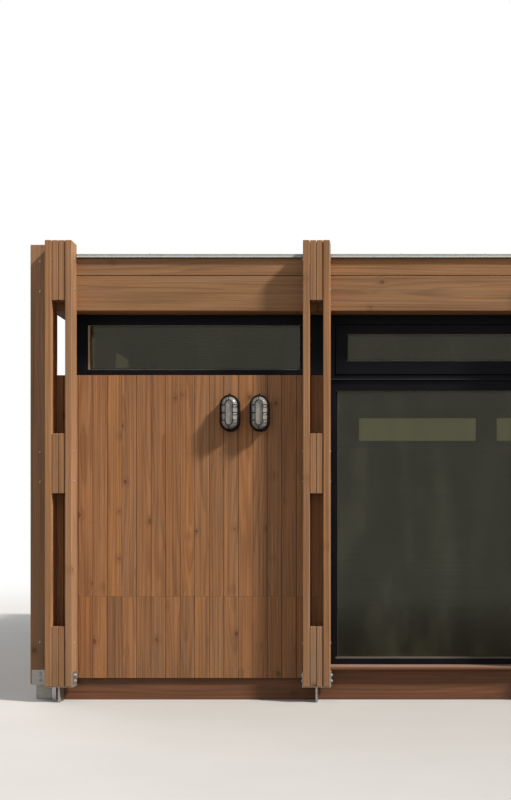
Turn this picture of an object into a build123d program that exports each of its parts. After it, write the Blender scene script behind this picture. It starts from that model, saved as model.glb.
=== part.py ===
"""Timber cabin on a square grid of built-up posts, with a flat roof and ribbon windows.

The front stands on -Y, X runs to the right, Z is up and the ground is z = 0.
Each piece is drawn in the elevation or the plan of its own side, so the four sides share one
description. The front and back run through at the corners and the other two sides butt behind them.
"""

import os

from build123d import *

os.makedirs("parts", exist_ok=True)

# Grid of the posts, which is the same on the four sides
module = 1525.0
front_bays = ("wall", "glass", "glass", "wall")

# Built-up posts: two planks with blocks of two plies between them
plank_thick = 39.0
plank_deep = 120.0
plank_ease = 3.0
ply_thick = 39.0
ply_gap = 3.0
ply_set_back = 5.0
block_high = 355.0
post_foot = 95.0
post_rise = 59.0

# Steel shoes under the posts, each on an upright fin
shoe_steel = 5.0
shoe_flange_high = 87.0
shoe_flange_wide = 100.0
shoe_flange_cut = 34.0
fin_thick = 10.0
fin_set_back = 4.0

# Base, floor and walls
base_high = 182.0
base_thick = 38.0
joist_thick = 38.0
joist_high = 140.0
joist_spacing = 610.0
floor_thick = 20.0
cladding_set_back = 6.0
cladding_thick = 20.0
cladding_foot = 132.0
ribbon_high = 385.0
wall_core = 160.0
ledge_thick = 12.0
butt_joint = 1.0

# Beams and roof
head = 2337.0
beam_high = 210.0
beam_thick = 60.0
fascia_high = 107.0
fascia_thick = 45.0
ceiling_thick = 20.0
roof_joist_thick = 45.0
roof_deck_thick = 22.0
flashing_steel = 2.0
flashing_lap = 90.0
flashing_drip = 8.0
flashing_post_gap = 2.0
seam_spacing = 510.0
seam_high = 25.0
seam_wide = 12.0

# Windows
frame_deep = 55.0
frame_wide = 60.0
frame_foot_rail = 34.0
stop_deep = 15.0
stop_lap = 12.0
mullion_wide = 84.0
transom_high = 93.0
sash_opening_high = 308.0
sash_deep = 46.0
sash_stile = 67.0
sash_head_rail = 53.0
sash_foot_rail = 81.0
sash_gap = 3.0
sash_stop_deep = 10.0
glass_thick = 24.0
glass_gap = 3.0
sill_thick = 18.0
sill_nosing = 18.0

# Pair of bulkhead lights on the left bay of the front
light_high = 219.0
light_wide = 118.0
light_drop = 232.0
light_from_post = 1002.0
light_spacing = 178.0
housing_deep = 38.0
bezel_wide = 9.0
bezel_deep = 10.0
globe_gap = 0.5
globe_rise = 42.0
globe_bevel_wide = 22.0
globe_bevel_deep = 28.0
cage_bar = 5.0
cage_gap = 2.0
cage_ring_high = 154.0
cage_ring_wide = 46.0
cage_arm_spacing = 42.0
cage_bend = 16.0

# Half-widths of the cabin, from the middle of the plan to each layer
bays = len(front_bays)
grid_half = module * bays / 2
post_wide = 2 * plank_thick + 2 * ply_thick + ply_gap
beam_face = grid_half + post_wide / 2
beam_inner = beam_face - beam_thick
fascia_inner = beam_face - fascia_thick
cladding_face = beam_face - cladding_set_back
wall_face = cladding_face - cladding_thick
wall_inner = wall_face - wall_core
base_inner = wall_face - base_thick
frame_face = wall_inner + frame_deep

# Levels
cladding_top = head - ribbon_high
wall_top = cladding_top - ledge_thick
sill_top = base_high + sill_thick
transom_top = head - frame_wide - sash_opening_high
transom_foot = transom_top - transom_high
beam_top = head + beam_high
fascia_top = beam_top + fascia_high
roof_top = fascia_top + roof_deck_thick
post_top = roof_top + post_rise

# Sides of the cabin, with the turn that takes the front to each of them
turns = {"front": 0, "right": 90, "back": 180, "left": 270}
post_lines = [module * i - grid_half for i in range(bays + 1)]


def glazed(side, bay):
    """Whether a bay has a picture window from the base up, and not a wall with a ribbon window."""
    return side == "front" and front_bays[bay] == "glass"


def elevation(side, out):
    """The plane of a side seen from outside, with x along it, y up and z outward."""
    turn = Rot(0, 0, turns[side])
    outward = (turn * Pos(0, -1, 0)).position
    along = (turn * Pos(1, 0, 0)).position
    return Plane(origin=outward * out, x_dir=along, z_dir=outward)


def plan(side, level):
    """The plan turned to a side, with x along it and y inward from the middle of the cabin."""
    along = (Rot(0, 0, turns[side]) * Pos(1, 0, 0)).position
    return Plane(origin=(0, 0, level), x_dir=along, z_dir=(0, 0, 1))


def reach(side, outer, deep):
    """How far a layer runs from the middle: through the corner, or up to the side that does."""
    return outer if side in ("front", "back") else outer - deep


def sheet(low_x, high_x, low_y, high_y, mode=Mode.ADD):
    """A rectangle between two corners, in the open sketch."""
    with Locations((low_x, low_y)):
        Rectangle(high_x - low_x, high_y - low_y, align=(Align.MIN, Align.MIN), mode=mode)


def wall_runs(side, end):
    """Stretches of closed wall between glazed bays, where end is half the whole length."""
    runs = []
    for bay in range(bays):
        if glazed(side, bay):
            continue
        low = -end if bay == 0 else post_lines[bay] - mullion_wide / 2
        high = end if bay == bays - 1 else post_lines[bay + 1] + mullion_wide / 2
        if runs and low < runs[-1][1]:
            runs[-1][1] = high
        else:
            runs.append([low, high])
    return runs


def window_span(side, bay):
    """The two ends of the window in a bay, between the mullions or at the corner."""
    end = reach(side, frame_face, frame_deep + butt_joint)
    low = -end if bay == 0 else post_lines[bay] + mullion_wide / 2
    high = end if bay == bays - 1 else post_lines[bay + 1] - mullion_wide / 2
    return low, high


# Built-up posts
block_levels = (post_foot, (post_foot + post_top - block_high) / 2, post_top - block_high)
for side in turns:
    with BuildPart() as planks:
        with BuildSketch(plan(side, post_foot)) as plank_plan:
            plank_middles = (post_wide - plank_thick) / 2
            with Locations(*[(x + s * plank_middles, -beam_face) for x in post_lines for s in (-1, 1)]):
                Rectangle(plank_thick, plank_deep, align=(Align.CENTER, Align.MAX))
            chamfer(plank_plan.vertices().group_by(Axis.Y)[0], length=plank_ease)
        extrude(amount=post_top - post_foot)
    planks.part.label = f"{side}_post_planks"
    export_step(planks.part, f"parts/{side}_post_planks.step")

    with BuildPart() as blocks:
        for level in block_levels:
            with BuildSketch(plan(side, level)):
                ply_middles = (ply_thick + ply_gap) / 2
                with Locations(*[(x + s * ply_middles, -beam_face) for x in post_lines for s in (-1, 1)]):
                    Rectangle(ply_thick, plank_deep - ply_set_back, align=(Align.CENTER, Align.MAX))
            extrude(amount=block_high)
    blocks.part.label = f"{side}_post_blocks"
    export_step(blocks.part, f"parts/{side}_post_blocks.step")

# Steel shoes: a plate under each post and a flange on each side of it, cut off at the back corner
flange_inner = -beam_face - (plank_deep - shoe_flange_wide) / 2
flange_outer = flange_inner - shoe_flange_wide
shoe_foot = post_foot - shoe_steel
flange_top = post_foot + shoe_flange_high
with BuildPart() as shoes:
    for side in turns:
        with BuildSketch(plan(side, shoe_foot)):
            for x in post_lines:
                sheet(
                    x - post_wide / 2 - shoe_steel,
                    x + post_wide / 2 + shoe_steel,
                    flange_outer,
                    flange_inner,
                )
        extrude(amount=shoe_steel)
        for x in post_lines:
            for face_x in (x - post_wide / 2 - shoe_steel, x + post_wide / 2):
                along = plan(side, 0).x_dir
                flange_plane = Plane(origin=along * face_x, x_dir=(plan(side, 0).y_dir), z_dir=along)
                with BuildSketch(flange_plane):
                    with BuildLine():
                        Polyline(
                            (flange_outer, shoe_foot),
                            (flange_inner - shoe_flange_cut, shoe_foot),
                            (flange_inner, shoe_foot + shoe_flange_cut),
                            (flange_inner, flange_top),
                            (flange_outer, flange_top),
                            close=True,
                        )
                    make_face()
                extrude(amount=shoe_steel)
shoes.part.label = "post_shoes"
export_step(shoes.part, "parts/post_shoes.step")

with BuildPart() as fins:
    for side in turns:
        with BuildSketch(plan(side, 0)):
            for x in post_lines:
                sheet(x - fin_thick / 2, x + fin_thick / 2, flange_outer + fin_set_back, flange_inner - fin_set_back)
        extrude(amount=shoe_foot)
fins.part.label = "post_fins"
export_step(fins.part, "parts/post_fins.step")

# Base boards round the foot, with the floor on joists between them
with BuildPart() as base:
    for side in turns:
        end = reach(side, wall_face, base_thick + butt_joint)
        with BuildSketch(plan(side, 0)):
            sheet(-end, end, -wall_face, -base_inner)
        extrude(amount=base_high)
base.part.label = "base_boards"
export_step(base.part, "parts/base_boards.step")

joist_count = int(2 * base_inner // joist_spacing)
joist_foot = base_high - floor_thick - joist_high
with BuildPart() as floor_joists:
    with BuildSketch(Plane.XY.offset(joist_foot)):
        with GridLocations(joist_spacing, 0, joist_count, 1):
            Rectangle(joist_thick, 2 * base_inner)
    extrude(amount=joist_high)
floor_joists.part.label = "floor_joists"
export_step(floor_joists.part, "parts/floor_joists.step")

with BuildPart() as floor_deck:
    with BuildSketch(Plane.XY.offset(base_high - floor_thick)):
        Rectangle(2 * base_inner, 2 * base_inner)
    extrude(amount=floor_thick)
floor_deck.part.label = "floor_deck"
export_step(floor_deck.part, "parts/floor_deck.step")

# Walls: a core with upright boards on its outer face
for side in turns:
    with BuildPart() as wall:
        with BuildSketch(elevation(side, wall_inner)):
            for low, high in wall_runs(side, reach(side, wall_face, wall_core)):
                sheet(low, high, base_high, wall_top)
        extrude(amount=wall_core)
    wall.part.label = f"{side}_wall"
    export_step(wall.part, f"parts/{side}_wall.step")

    with BuildPart() as cladding:
        with BuildSketch(elevation(side, wall_face)):
            for low, high in wall_runs(side, reach(side, cladding_face, cladding_thick)):
                sheet(low, high, cladding_foot, cladding_top)
        extrude(amount=cladding_thick)
    cladding.part.label = f"{side}_cladding"
    export_step(cladding.part, f"parts/{side}_cladding.step")

# Ledge boards on top of the walls, outside the ribbon windows
with BuildPart() as ledges:
    for side in turns:
        end = reach(side, wall_face, wall_face - frame_face + butt_joint)
        with BuildSketch(elevation(side, frame_face)):
            for low, high in wall_runs(side, end):
                sheet(low, high, wall_top, cladding_top)
        extrude(amount=wall_face - frame_face)
ledges.part.label = "ledge_boards"
export_step(ledges.part, "parts/ledge_boards.step")

# Beams round the head of the walls, behind the posts
for side in turns:
    with BuildPart() as beam:
        end = reach(side, beam_face, beam_thick)
        with BuildSketch(elevation(side, beam_inner)):
            sheet(-end, end, head, beam_top)
        extrude(amount=beam_thick)
    beam.part.label = f"{side}_beam"
    export_step(beam.part, f"parts/{side}_beam.step")

with BuildPart() as fascia:
    for side in turns:
        end = reach(side, beam_face, fascia_thick + butt_joint)
        with BuildSketch(elevation(side, fascia_inner)):
            sheet(-end, end, beam_top, fascia_top)
        extrude(amount=fascia_thick)
fascia.part.label = "roof_fascia"
export_step(fascia.part, "parts/roof_fascia.step")

# Flat roof: ceiling, joists, deck, folded edge flashing and a sheet with standing seams
with BuildPart() as ceiling:
    with BuildSketch(Plane.XY.offset(head)):
        Rectangle(2 * beam_inner, 2 * beam_inner)
    extrude(amount=ceiling_thick)
ceiling.part.label = "ceiling"
export_step(ceiling.part, "parts/ceiling.step")

with BuildPart() as roof_joists:
    with BuildSketch(Plane.XY.offset(head + ceiling_thick)):
        with GridLocations(joist_spacing, 0, joist_count, 1):
            Rectangle(roof_joist_thick, 2 * beam_inner)
    extrude(amount=fascia_top - head - ceiling_thick)
roof_joists.part.label = "roof_joists"
export_step(roof_joists.part, "parts/roof_joists.step")

with BuildPart() as roof_deck:
    with BuildSketch(Plane.XY.offset(fascia_top)):
        Rectangle(2 * beam_face, 2 * beam_face)
    extrude(amount=roof_deck_thick)
roof_deck.part.label = "roof_deck"
export_step(roof_deck.part, "parts/roof_deck.step")

with BuildPart() as flashing:
    with BuildSketch(Plane.XY.offset(roof_top)):
        Rectangle(2 * beam_face, 2 * beam_face)
        Rectangle(2 * (beam_face - flashing_lap), 2 * (beam_face - flashing_lap), mode=Mode.SUBTRACT)
    extrude(amount=flashing_steel)
    legs = ((flashing_steel, roof_deck_thick + flashing_steel), (flashing_drip, flashing_steel))
    for side in turns:
        for out, high in legs:
            with BuildSketch(plan(side, fascia_top)):
                for bay in range(bays):
                    low_x = post_lines[bay] + post_wide / 2 + flashing_post_gap
                    high_x = post_lines[bay + 1] - post_wide / 2 - flashing_post_gap
                    sheet(low_x, high_x, -beam_face - out, -beam_face)
            extrude(amount=high)
flashing.part.label = "roof_flashing"
export_step(flashing.part, "parts/roof_flashing.step")

roof_sheet_half = beam_face - flashing_lap
seam_count = int(2 * roof_sheet_half // seam_spacing)
with BuildPart() as roof_sheet:
    with BuildSketch(Plane.XY.offset(roof_top)):
        Rectangle(2 * roof_sheet_half, 2 * roof_sheet_half)
    extrude(amount=flashing_steel)
    with BuildSketch(Plane.XY.offset(roof_top + flashing_steel)):
        with GridLocations(seam_spacing, 0, seam_count, 1):
            Rectangle(seam_wide, 2 * roof_sheet_half)
    extrude(amount=seam_high)
roof_sheet.part.label = "roof_sheet"
export_step(roof_sheet.part, "parts/roof_sheet.step")

# Ribbon windows under the beams, with a mullion on each post line
with BuildPart() as ribbon_frames:
    for side in turns:
        spans = [window_span(side, bay) for bay in range(bays) if not glazed(side, bay)]
        for start, deep, lap in ((0, stop_deep, stop_lap), (stop_deep, frame_deep - stop_deep, 0)):
            with BuildSketch(elevation(side, wall_inner + start)):
                for low, high in spans:
                    sheet(low, high, wall_top, head)
                    edge = frame_wide + lap
                    sheet(
                        low + edge,
                        high - edge,
                        wall_top + edge,
                        head - edge,
                        mode=Mode.SUBTRACT,
                    )
            extrude(amount=deep)
ribbon_frames.part.label = "clerestory_frames"
export_step(ribbon_frames.part, "parts/clerestory_frames.step")

with BuildPart() as ribbon_glass:
    for side in turns:
        with BuildSketch(elevation(side, wall_inner + stop_deep)):
            for bay in range(bays):
                if not glazed(side, bay):
                    low, high = window_span(side, bay)
                    edge = frame_wide + glass_gap
                    sheet(low + edge, high - edge, wall_top + edge, head - edge)
        extrude(amount=glass_thick)
ribbon_glass.part.label = "clerestory_glass"
export_step(ribbon_glass.part, "parts/clerestory_glass.step")

with BuildPart() as mullions:
    for side in turns:
        with BuildSketch(elevation(side, wall_inner)):
            for line in range(1, bays):
                between_glass = glazed(side, line - 1) and glazed(side, line)
                foot = sill_top if between_glass else wall_top
                x = post_lines[line]
                sheet(x - mullion_wide / 2, x + mullion_wide / 2, foot, head)
        extrude(amount=frame_deep)
mullions.part.label = "window_mullions"
export_step(mullions.part, "parts/window_mullions.step")

# Picture windows: a fixed pane below a transom and an awning sash above it
glass_bays = [bay for bay in range(bays) if glazed("front", bay)]
picture_spans = [window_span("front", bay) for bay in glass_bays]
with BuildPart() as picture_frames:
    for start, deep, lap in ((0, stop_deep, stop_lap), (stop_deep, frame_deep - stop_deep, 0)):
        with BuildSketch(elevation("front", wall_inner + start)):
            for low, high in picture_spans:
                left = low + frame_wide + lap
                right = high - frame_wide - lap
                sheet(low, high, sill_top, head)
                sheet(
                    left,
                    right,
                    sill_top + frame_foot_rail + lap,
                    transom_foot - lap,
                    mode=Mode.SUBTRACT,
                )
                sheet(left, right, transom_top + lap, head - frame_wide - lap, mode=Mode.SUBTRACT)
        extrude(amount=deep)
picture_frames.part.label = "picture_window_frames"
export_step(picture_frames.part, "parts/picture_window_frames.step")

with BuildPart() as picture_glass:
    with BuildSketch(elevation("front", wall_inner + stop_deep)):
        for low, high in picture_spans:
            sheet(
                low + frame_wide + glass_gap,
                high - frame_wide - glass_gap,
                sill_top + frame_foot_rail + glass_gap,
                transom_foot - glass_gap,
            )
    extrude(amount=glass_thick)
picture_glass.part.label = "picture_window_glass"
export_step(picture_glass.part, "parts/picture_window_glass.step")

sash_foot = transom_top + sash_gap
sash_top = head - frame_wide - sash_gap
sash_back = wall_inner + stop_deep
with BuildPart() as sashes:
    for start, deep, lap in (
        (0, sash_stop_deep, stop_lap),
        (sash_stop_deep, sash_deep - sash_stop_deep, 0),
    ):
        with BuildSketch(elevation("front", sash_back + start)):
            for low, high in picture_spans:
                left = low + frame_wide + sash_gap
                right = high - frame_wide - sash_gap
                sheet(left, right, sash_foot, sash_top)
                sheet(
                    left + sash_stile + lap,
                    right - sash_stile - lap,
                    sash_foot + sash_foot_rail + lap,
                    sash_top - sash_head_rail - lap,
                    mode=Mode.SUBTRACT,
                )
        extrude(amount=deep)
sashes.part.label = "awning_sashes"
export_step(sashes.part, "parts/awning_sashes.step")

with BuildPart() as sash_glass:
    with BuildSketch(elevation("front", sash_back + sash_stop_deep)):
        for low, high in picture_spans:
            edge = frame_wide + sash_gap + sash_stile + glass_gap
            sheet(
                low + edge,
                high - edge,
                sash_foot + sash_foot_rail + glass_gap,
                sash_top - sash_head_rail - glass_gap,
            )
    extrude(amount=glass_thick)
sash_glass.part.label = "awning_glass"
export_step(sash_glass.part, "parts/awning_glass.step")

# Sills under the picture windows, each with a nosing between the posts
with BuildPart() as sills:
    with BuildSketch(plan("front", base_high)):
        low = picture_spans[0][0]
        high = picture_spans[-1][1]
        sheet(low, high, -beam_face, -wall_inner)
        for bay in glass_bays:
            sheet(
                post_lines[bay] + post_wide / 2 + butt_joint,
                post_lines[bay + 1] - post_wide / 2 - butt_joint,
                -beam_face - sill_nosing,
                -beam_face,
            )
    extrude(amount=sill_thick)
sills.part.label = "window_sills"
export_step(sills.part, "parts/window_sills.step")

# Bulkhead lights: a housing, a domed globe and a cage on a bezel
light_level = cladding_top - light_drop
light_places = [(post_lines[0] + light_from_post + i * light_spacing, light_level) for i in (0, 1)]
globe_high = light_high - 2 * bezel_wide
globe_wide = light_wide - 2 * bezel_wide
housing_face = cladding_face + housing_deep
cage_level = globe_rise + cage_gap

with BuildPart() as housings:
    with BuildSketch(elevation("front", cladding_face)):
        with Locations(*light_places):
            SlotOverall(light_high, light_wide, rotation=90)
    extrude(amount=housing_deep)
housings.part.label = "light_bases"
export_step(housings.part, "parts/light_bases.step")

with BuildPart() as globes:
    with BuildSketch(elevation("front", housing_face)):
        with Locations(*light_places):
            SlotOverall(globe_high - 2 * globe_gap, globe_wide - 2 * globe_gap, rotation=90)
    extrude(amount=globe_rise)
    for globe_face in globes.faces().filter_by(Axis.Y).group_by(Axis.Y)[0]:
        chamfer(globe_face.edges(), globe_bevel_wide, globe_bevel_deep, reference=globe_face)
globes.part.label = "light_globes"
export_step(globes.part, "parts/light_globes.step")

with BuildPart() as cages:
    with BuildSketch(elevation("front", housing_face)):
        with Locations(*light_places):
            SlotOverall(light_high, light_wide, rotation=90)
            SlotOverall(globe_high, globe_wide, rotation=90, mode=Mode.SUBTRACT)
    extrude(amount=bezel_deep)
    with BuildSketch(elevation("front", housing_face + cage_level)):
        with Locations(*light_places):
            SlotOverall(cage_ring_high, cage_ring_wide, rotation=90)
            SlotOverall(
                cage_ring_high - 2 * cage_bar,
                cage_ring_wide - 2 * cage_bar,
                rotation=90,
                mode=Mode.SUBTRACT,
            )
    extrude(amount=cage_bar)
    arm_foot = light_wide / 2 - cage_bar / 2
    arm_head = cage_ring_wide / 2 - cage_bar / 2
    arm_rise = cage_level + cage_bar / 2
    for x, z in light_places:
        for row in (-1, 0, 1):
            level = z + row * cage_arm_spacing
            with BuildSketch(plan("front", level)):
                for s in (-1, 1):
                    with BuildLine():
                        FilletPolyline(
                            (x + s * arm_foot, -housing_face),
                            (x + s * arm_foot, -housing_face - arm_rise),
                            (x + s * arm_head, -housing_face - arm_rise),
                            radius=cage_bend,
                        )
                    trace(line_width=cage_bar)
            extrude(amount=cage_bar / 2, both=True)
        with BuildSketch(Plane(origin=(x, 0, 0), x_dir=(0, 1, 0), z_dir=(1, 0, 0))):
            for s in (-1, 1):
                with BuildLine():
                    FilletPolyline(
                        (-housing_face, z + s * (light_high / 2 - cage_bar / 2)),
                        (-housing_face - arm_rise, z + s * (light_high / 2 - cage_bar / 2)),
                        (-housing_face - arm_rise, z + s * (cage_ring_high / 2 - cage_bar / 2)),
                        radius=cage_bend,
                    )
                trace(line_width=cage_bar)
        extrude(amount=cage_bar / 2, both=True)
cages.part.label = "light_cages"
export_step(cages.part, "parts/light_cages.step")
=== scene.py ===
import math
import random
from collections import namedtuple
from itertools import product

import bpy
from mathutils import Matrix, Vector


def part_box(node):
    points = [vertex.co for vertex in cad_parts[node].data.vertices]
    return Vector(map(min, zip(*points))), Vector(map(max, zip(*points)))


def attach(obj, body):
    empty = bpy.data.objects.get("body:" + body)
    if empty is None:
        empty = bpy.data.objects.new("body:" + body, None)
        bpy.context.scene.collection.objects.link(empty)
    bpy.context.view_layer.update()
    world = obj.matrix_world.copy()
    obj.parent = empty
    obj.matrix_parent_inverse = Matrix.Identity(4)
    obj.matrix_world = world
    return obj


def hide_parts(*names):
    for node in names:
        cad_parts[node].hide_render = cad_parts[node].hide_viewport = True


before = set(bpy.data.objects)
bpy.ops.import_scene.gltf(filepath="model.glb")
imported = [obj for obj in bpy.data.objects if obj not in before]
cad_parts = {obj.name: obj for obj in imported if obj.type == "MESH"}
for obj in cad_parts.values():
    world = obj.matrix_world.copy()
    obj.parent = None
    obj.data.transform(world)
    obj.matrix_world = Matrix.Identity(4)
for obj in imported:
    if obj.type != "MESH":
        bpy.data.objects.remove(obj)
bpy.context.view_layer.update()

# Sizes in metres. The front stands on -Y, and each side is laid out as the front and turned.
sides = {"front": 0, "right": 90, "back": 180, "left": 270}
bays = 4
glass_bays = (1, 2)

# Posts
plank_thick = 0.039
ply_gap = 0.003
post_wide = 4 * plank_thick + ply_gap
ply_set_back = 0.005
ply_side_gap = 0.003
ply_ease = 0.002
block_high = 0.355
timber_ease = 0.003

# Bolts, screws and nails. A bevel is how far it cuts in, and how far along.
Stud = namedtuple("Stud", "sides radius top bevel foot foot_bevel", defaults=(0, None))
fine_bevel = (0.001, 0.001)
nut_flats = 0.01
nut_radius = nut_flats / math.sqrt(3)
nut_sides = {"front": -1, "right": -1, "back": 1, "left": 1}
washer = Stud(sides=24, radius=0.008, top=0.0015, bevel=(0.0008, 0.0006))
nut = Stud(sides=6, radius=nut_radius, foot=washer.top, top=washer.top + 0.005, bevel=fine_bevel,
           foot_bevel=fine_bevel)
bolt_tip = Stud(sides=16, radius=0.003, foot=nut.top - 0.001, top=nut.top + 0.003, bevel=fine_bevel)
bolt_head = Stud(sides=6, radius=nut_radius, top=0.004, bevel=fine_bevel)
bolt_spread = 0.09
bolt_drop = 0.015
screw_washer = Stud(sides=20, radius=0.011, top=0.002, bevel=(0.0006, 0.0005))
screw_head = Stud(sides=6, radius=0.0086, foot=screw_washer.top, top=0.0088, bevel=(0.0012, 0.0013),
                  foot_bevel=(0.0008, 0.001))
shoe_steel = 0.005
shoe_screw_levels = (0.027, 0.062)
nail_head = Stud(sides=8, radius=0.0022, top=0.0012, bevel=(0.00088, 0.0006))
nail_sunk = 0.0004
nail_rows = 4
nail_from_end = 0.03
nail_from_edge = 0.02
nail_sway = 0.004

# What differs from board to board, and where a board lies in its tree
tone_spread = 0.42
warmth_spread = 0.5
trunk_long = 40
pith_aside = 0.07
pith_depths = (0.05, 0.16)

# Boards
board_cover = 0.0875
board_joint_x = -2.877
board_gap = 0.0012
board_ease = 0.0022
board_sway = 0.0008
board_least = 0.012
board_end_level = 0.622
board_end_gap = 0.0008
board_edge_darkening = 0.55
tongue_deep = 0.007
tongue_low = 0.007
tongue_high = 0.012
groove_play = 0.0005
butt_joint = 0.001
ledge_ease = 0.002
nosing_ease = 0.004
floor_board = 0.14
floor_ease = 0.0015
ceiling_board = 0.12
ceiling_ease = 0.004
planked_end_gap = 0.0003
planked_side_gap = 0.0004
planked_joint_share = 0.5

# Windows
frame_wide = 0.06
mullion_wide = 0.084
foot_rail = 0.034
stop_deep = 0.015
stop_lap = 0.012
sash_stile = 0.067
sash_head_rail = 0.053
sash_foot_rail = 0.081
sash_gap = 0.003
sash_stop_deep = 0.01
glass_thick = 0.024
glass_sheet = 0.005
glass_gap = 0.003
mitre_gap = 0.0003
edge_round = 0.002
transom_step = 0.023
drip_out = 0.012
drip_high = 0.007
drip_lip = 0.004
drip_steel = 0.0015
drip_fold = 0.005
drip_end_gap = 0.004
gasket_wide = 0.002
gasket_sunk = 0.002
bead_wide = 0.0045
bead_deep = 0.003
bead_gap = 0.0005
bead_ease = 0.0008
end_bead_wide = 0.012
foot_bead_wide = 0.011
strip_wide = 0.011
spacer_wide = 0.011
spacer_edge = 0.001
spacer_bevel = 0.002
cover_thick = 0.008
cover_leg = 0.05
cover_ease = 0.002

# Roof. The seam's fold is listed as (across, down from its top).
flashing_steel = 0.0012
flashing_leaf = 0.0045
flashing_kick = 0.018
flashing_kick_high = 0.013
flashing_post_gap = 0.002
flashing_ease = 0.0004
pan_ease = 0.0003
seam_spacing = 0.51
seam_half = 0.0015
seam_end_gap = 0.004
seam_fold = ((-0.0055, 0.011), (-0.006, 0.002), (-0.004, 0), (seam_half, 0), (0.0025, 0.002), (0.0025, 0.009))

# Lights. The housing's foot is listed as (inset, out from the wall), its rim as (inset, back from the face).
light_wide = 0.118
housing_foot = ((0, 0), (0, 0.006), (0.0012, 0.0075), (0.003, 0.0085))
housing_rim = ((0.0035, 0.004), (0.0025, 0.001), (0.001, 0))
mount_screw = Stud(sides=16, radius=0.0035, top=0.0026, bevel=(0.0013, 0.0008))
mount_inset = 0.0075
bezel_wide = 0.0112
bezel_deep = 0.01
bezel_round = 0.0025
globe_gap = 0.0005
dome_inset = 0.62
dome_start = 0.3
dome_power = 1.1
flute_deep = 0.0012
cage_bar = 0.005
cage_gap = 0.002
cage_ring_high = 0.154
cage_ring_wide = 0.048
cage_arm_spacing = 0.0455
cage_bend = 0.016
cage_foot_inset = 0.001
cage_screw = Stud(sides=12, radius=0.003, top=0.002, bevel=(0.001, 0.0008))
lug_wide = 0.009
lug_high = 0.007
lug_deep = 0.02
lug_sunk = 0.003
lug_set_back = 0.001
lug_ease = 0.001

# Places that the frame gives
planks_low, planks_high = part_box("front_post_planks")
blocks_low, blocks_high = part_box("front_post_blocks")
beam_low, beam_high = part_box("front_beam")
fascia_low, fascia_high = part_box("roof_fascia")
cladding_low, cladding_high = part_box("front_cladding")
wall_low, wall_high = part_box("front_wall")
ledge_low, ledge_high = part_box("ledge_boards")
base_low, base_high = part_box("base_boards")
ribbon_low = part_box("clerestory_frames")[0]
picture_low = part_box("picture_window_frames")[0]
sash_low, sash_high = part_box("awning_sashes")
pane_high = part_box("picture_window_glass")[1]
sill_low, sill_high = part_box("window_sills")
floor_low, floor_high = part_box("floor_deck")
ceiling_low, ceiling_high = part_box("ceiling")
sheet_low, sheet_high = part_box("roof_sheet")
flashing_low, flashing_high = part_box("roof_flashing")
lights_low, lights_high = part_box("light_bases")
globes_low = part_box("light_globes")[0]

grid_half = planks_high.x - post_wide / 2
module = 2 * grid_half / bays
post_lines = [module * i - grid_half for i in range(bays + 1)]
inner_lines = post_lines[1:-1]
middle_line = post_lines[bays // 2]
plank_face = -planks_low.y
beam_face = -beam_low.y
beam_thick = beam_high.y - beam_low.y
fascia_thick = 0.045
fascia_seam = 0.003
cladding_face = -cladding_low.y
cladding_thick = cladding_high.y - cladding_low.y
wall_face = -wall_low.y
wall_inner = -wall_high.y
base_thick = 0.038
frame_face = -ribbon_low.y
frame_deep = frame_face - wall_inner
head = beam_low.z
wall_top = ribbon_low.z
transom_foot = pane_high.z + glass_gap
transom_top = sash_low.z - sash_gap
transom_line = transom_top - transom_step


# Meshes with what the timber shaders read from each point


def turned(side):
    """The turn that takes the front to a side."""
    return Matrix.Rotation(math.radians(sides[side]), 4, "Z")


def placed(name, data):
    """A new object in the scene."""
    item = bpy.data.objects.new(name, data)
    bpy.context.scene.collection.objects.link(item)
    return item


def facing_out(points, faces):
    """The faces of a closed shape, all turned round if they face in."""
    near = [p - points[0] for p in points]
    volume = sum(near[face[0]].dot(near[b].cross(near[c]))
                 for face in faces for b, c in zip(face[1:], face[2:]))
    return faces if volume > 0 else [face[::-1] for face in faces]


class Pieces:
    """Shapes gathered into one mesh, with a grain place, a board tone and a darkening for each point."""

    def __init__(self, seed=0):
        self.points = []
        self.faces = []
        self.smooth = []
        self.grain = []
        self.board = []
        self.soil = []
        self.random = random.Random(seed)

    def add(self, points, faces, side="front", smooth=False, grain=None, board=(0, 0, 0), soil=None):
        """Adds a closed shape that is laid out on the front, turned to its side."""
        turn = turned(side)
        start = len(self.points)
        points = [turn @ Vector(p) for p in points]
        self.points += points
        self.faces += [[start + i for i in face] for face in facing_out(points, faces)]
        self.smooth += [smooth] * len(faces)
        self.grain += grain or points
        self.board += [board] * len(points)
        self.soil += soil or [0.0] * len(points)

    def make(self, name, material, nodes=()):
        mesh = bpy.data.meshes.new(name)
        mesh.from_pydata(self.points, [], self.faces)
        mesh.polygons.foreach_set("use_smooth", self.smooth)
        mesh.materials.append(material)
        for label, values in (("grain", self.grain), ("board", self.board)):
            layer = mesh.attributes.new(label, "FLOAT_VECTOR", "POINT")
            layer.data.foreach_set("vector", [v for value in values for v in value])
        mesh.attributes.new("soil", "FLOAT", "POINT").data.foreach_set("value", self.soil)
        mesh.update()
        piece = placed(name, mesh)
        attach(piece, "root")
        if nodes:
            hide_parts(*nodes)


def reach(side, outer, deep):
    """How far a layer runs from the middle: through the corner, or up to the side that does."""
    return outer if side in ("front", "back") else outer - deep


def board_nature(pieces):
    """A tone and a warmth for one board. The third number has no use, but keeps the draws in order."""
    dice = pieces.random
    return dice.gauss(0, tone_spread), dice.gauss(0, warmth_spread), dice.random()


def grain_start(pieces):
    """Where a board lies in its tree: along the trunk, and off the pith both ways."""
    dice = pieces.random
    pith_side = dice.choice((-1, 1)) * dice.uniform(0, pith_aside)
    pith_deep = dice.choice((-1, 1)) * dice.uniform(*pith_depths)
    return Vector((dice.uniform(0, trunk_long), pith_side, pith_deep))


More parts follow.
